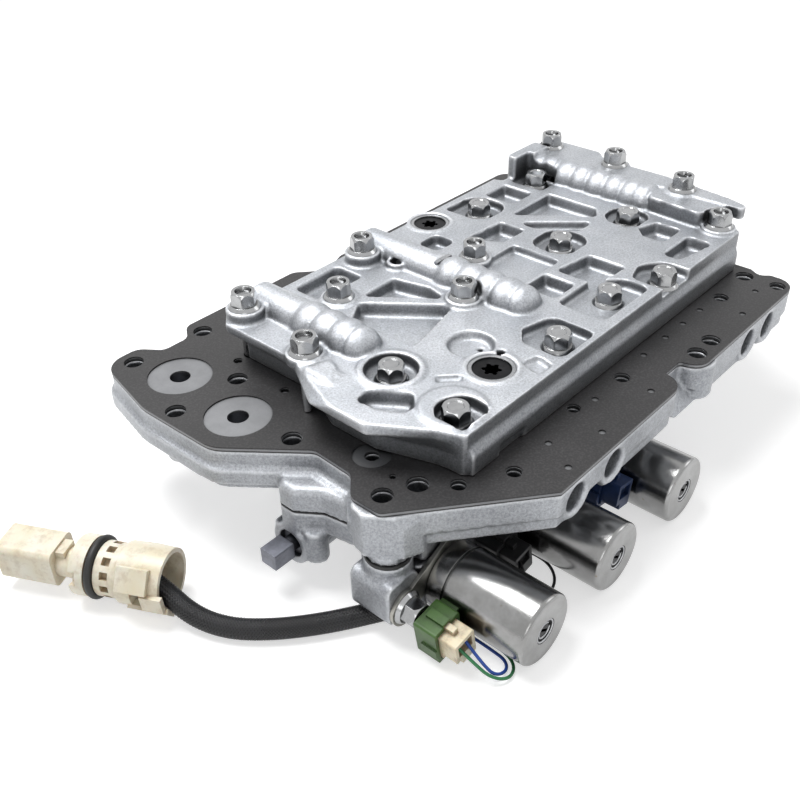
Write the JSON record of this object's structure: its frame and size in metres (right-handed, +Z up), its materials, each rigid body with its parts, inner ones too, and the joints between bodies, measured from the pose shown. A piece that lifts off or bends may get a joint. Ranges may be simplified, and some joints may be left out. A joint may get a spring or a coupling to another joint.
{
  "type": "transmission valve body",
  "caption": "Automatic transmission valve body: bolted castings with gaskets and separator plate, spool valves, solenoids and a harness with a case connector.",
  "frame": {"origin": "middle of the underside of the body, without the harness", "axes": "+X along the long side, +Y from the solenoid end plates towards the back, +Z up through the castings"},
  "size_m": [0.3547, 0.211, 0.0965],
  "materials": {
    "die_cast_aluminium": "shot blasted die casting",
    "dark_gasket": "coated gasket sheet",
    "steel_sheet": "rolled sheet",
    "zinc_bolts": "zinc plated",
    "black_steel": "black oxide",
    "bright_steel": "ground",
    "can_steel": "drawn and polished",
    "spool_aluminium": "hard anodised",
    "spring_steel": "drawn wire",
    "dark_steel": "hardened",
    "black_rubber": "oiled",
    "cream_plastic": "aged",
    "green_plastic": "moulded",
    "blue_plastic": "moulded",
    "black_plastic": "moulded",
    "braided_sleeve": "braided",
    "wire_green_cover": "extruded",
    "wire_blue_cover": "extruded",
    "wire_black_cover": "extruded",
    "contact_metal": "tinned"
  },
  "bodies": {
    "valve_body": {"upper_body": "die_cast_aluminium", "upper_gasket": "dark_gasket", "separator_plate": "steel_sheet", "lower_gasket": "dark_gasket", "lower_body": "die_cast_aluminium", "bottom_gasket": "dark_gasket", "bottom_body": "die_cast_aluminium", "cover_bolts_short": "zinc_bolts", "cover_bolts_medium": "zinc_bolts", "cover_bolts_long": "zinc_bolts", "bottom_bolts": "zinc_bolts", "bracket_bolt": "zinc_bolts", "solenoid_bracket": "steel_sheet", "foot_seal": "black_rubber", "threaded_plugs": "black_steel", "plug_rings": "bright_steel", "bore_plugs": "spool_aluminium", "valve_keys": "dark_steel", "nose_seals": "black_rubber", "upper_spring_1": "spring_steel", "upper_spring_2": "spring_steel", "upper_spring_3": "spring_steel", "lower_spring_1": "spring_steel", "lower_spring_2": "spring_steel", "lower_spring_3": "spring_steel", "lower_spring_4": "spring_steel", "accumulator_spring_1": "spring_steel", "accumulator_spring_2": "spring_steel", "solenoid_can_1": "can_steel", "solenoid_socket_1": "green_plastic", "harness_plug_1": "cream_plastic", "solenoid_can_2": "can_steel", "solenoid_socket_2": "black_plastic", "harness_plug_2": "black_plastic", "solenoid_can_3": "can_steel", "solenoid_socket_3": "blue_plastic", "harness_plug_3": "blue_plastic", "solenoid_noses": "can_steel", "solenoid_adjusters": "dark_steel", "connector_body": "cream_plastic", "connector_plug_end": "cream_plastic", "connector_pins": "contact_metal", "connector_seal": "black_rubber", "connector_collar": "cream_plastic", "harness_sleeve": "braided_sleeve", "harness_cuff": "black_rubber", "wire_green": "wire_green_cover", "wire_blue": "wire_blue_cover", "wire_black": "wire_black_cover"},
    "upper_spool_1": {"upper_spool_1": "spool_aluminium"},
    "upper_spool_2": {"upper_spool_2": "spool_aluminium"},
    "upper_spool_3": {"upper_spool_3": "spool_aluminium"},
    "lower_spool_1": {"lower_spool_1": "spool_aluminium"},
    "lower_spool_2": {"lower_spool_2": "spool_aluminium"},
    "lower_spool_3": {"lower_spool_3": "spool_aluminium"},
    "lower_spool_4": {"lower_spool_4": "spool_aluminium"},
    "accumulator_piston_1": {"accumulator_piston_1": "spool_aluminium"},
    "accumulator_piston_2": {"accumulator_piston_2": "spool_aluminium"},
    "manual_valve": {"manual_valve": "dark_steel"}
  },
  "joints": [
    {"name": "upper_spool_1_slide", "type": "slide", "parent": "valve_body", "child": "upper_spool_1", "axis": [0, 1, 0], "range_m": [0, 0.005], "stiffness_N_per_m": 600, "springref_m": -0.004, "deforming": ["upper_spring_1"]},
    {"name": "upper_spool_2_slide", "type": "slide", "parent": "valve_body", "child": "upper_spool_2", "axis": [0, 1, 0], "range_m": [0, 0.005], "stiffness_N_per_m": 600, "springref_m": -0.004, "deforming": ["upper_spring_2"]},
    {"name": "upper_spool_3_slide", "type": "slide", "parent": "valve_body", "child": "upper_spool_3", "axis": [0, 1, 0], "range_m": [0, 0.005], "stiffness_N_per_m": 600, "springref_m": -0.004, "deforming": ["upper_spring_3"]},
    {"name": "lower_spool_1_slide", "type": "slide", "parent": "valve_body", "child": "lower_spool_1", "axis": [0, 1, 0], "range_m": [0, 0.005], "stiffness_N_per_m": 500, "springref_m": -0.006, "deforming": ["lower_spring_1"]},
    {"name": "lower_spool_2_slide", "type": "slide", "parent": "valve_body", "child": "lower_spool_2", "axis": [0, 1, 0], "range_m": [0, 0.005], "stiffness_N_per_m": 500, "springref_m": -0.006, "deforming": ["lower_spring_2"]},
    {"name": "lower_spool_3_slide", "type": "slide", "parent": "valve_body", "child": "lower_spool_3", "axis": [0, 1, 0], "range_m": [0, 0.005], "stiffness_N_per_m": 500, "springref_m": -0.006, "deforming": ["lower_spring_3"]},
    {"name": "lower_spool_4_slide", "type": "slide", "parent": "valve_body", "child": "lower_spool_4", "axis": [0, 1, 0], "range_m": [0, 0.005], "stiffness_N_per_m": 500, "springref_m": -0.006, "deforming": ["lower_spring_4"]},
    {"name": "accumulator_1_slide", "type": "slide", "parent": "valve_body", "child": "accumulator_piston_1", "axis": [0, 0, -1], "range_m": [0, 0.005], "stiffness_N_per_m": 3000, "springref_m": -0.004, "deforming": ["accumulator_spring_1"]},
    {"name": "accumulator_2_slide", "type": "slide", "parent": "valve_body", "child": "accumulator_piston_2", "axis": [0, 0, -1], "range_m": [0, 0.005], "stiffness_N_per_m": 3000, "springref_m": -0.004, "deforming": ["accumulator_spring_2"]},
    {"name": "manual_valve_slide", "type": "slide", "parent": "valve_body", "child": "manual_valve", "axis": [1, 0, 0], "range_m": [-0.012, 0.004]}
  ]
}
